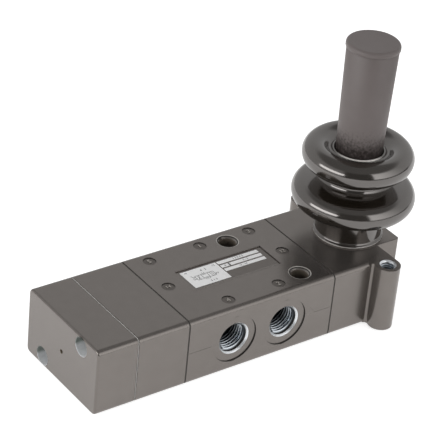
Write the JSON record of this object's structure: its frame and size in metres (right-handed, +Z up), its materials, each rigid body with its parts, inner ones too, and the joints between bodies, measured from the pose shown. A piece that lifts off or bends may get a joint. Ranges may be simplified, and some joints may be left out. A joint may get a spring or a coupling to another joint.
{
  "type": "hand lever spool valve",
  "caption": "Hand lever spool valve: coated aluminium bar with threaded air ports, a folded rubber boot and an upright cylindrical grip.",
  "frame": {"origin": "midway between the two vertical mounting holes, on the underside of the valve body", "axes": "+X along the bar towards the lever, +Y towards the side with three ports, +Z up along the upright lever"},
  "size_m": [0.164, 0.0676, 0.1173],
  "materials": {
    "coated_aluminium": "satin",
    "plain_aluminium": "satin",
    "steel": "satin",
    "spring_steel": "satin",
    "boot_rubber": "gloss",
    "seal_rubber": "matte",
    "gasket_rubber": "matte",
    "grip_plastic": "matte",
    "cage_plastic": "matte",
    "collar_plastic": "satin",
    "bush_bronze": "satin",
    "label_foil": "satin"
  },
  "bodies": {
    "valve": {"end_cap": "coated_aluminium", "spring_housing": "coated_aluminium", "valve_body": "coated_aluminium", "lever_housing": "coated_aluminium", "cap_gasket": "gasket_rubber", "spring_side_gasket": "gasket_rubber", "lever_side_gasket": "gasket_rubber", "label_plate": "label_foil", "seal_retainer_left": "plain_aluminium", "seal_retainer_right": "plain_aluminium", "spring_outer": "spring_steel", "spring_inner": "spring_steel", "pivot_pin": "steel", "pivot_washer_near": "steel", "pivot_washer_far": "steel", "cap_screw_near": "steel", "cap_screw_far": "steel", "lever_screw_near": "steel", "lever_screw_far": "steel", "boot_collar": "collar_plastic", "boot": "boot_rubber", "bore_cage_1": "cage_plastic", "bore_cage_2": "cage_plastic", "bore_cage_3": "cage_plastic", "bore_cage_4": "cage_plastic", "bore_cage_5": "cage_plastic", "bore_seal_1": "seal_rubber", "bore_seal_2": "seal_rubber", "bore_seal_3": "seal_rubber", "bore_seal_4": "seal_rubber", "bore_seal_5": "seal_rubber", "bore_seal_6": "seal_rubber"},
    "lever": {"lever_rod": "steel", "pivot_bush": "bush_bronze", "grip_lock_nut": "steel", "lever_grip": "grip_plastic"},
    "spool": {"spool": "plain_aluminium", "spool_yoke": "steel", "spring_collar": "steel", "collar_screw": "steel"}
  },
  "joints": [
    {"name": "lever_swing", "type": "hinge", "parent": "valve", "child": "lever", "pos_m": [0.04358, 0, 0.0248], "axis": [0, 1, 0], "range_deg": [-15, 15], "stiffness_Nm_per_rad": 1.7, "deforming": ["boot"]},
    {"name": "spool_slide", "type": "slide", "parent": "valve", "child": "spool", "axis": [1, 0, 0], "range_m": [-0.0028, 0.0028], "deforming": ["spring_outer", "spring_inner"]}
  ],
  "couplings": [
    {"joint": "spool_slide", "follows": "lever_swing", "m_per_rad": -0.01}
  ]
}
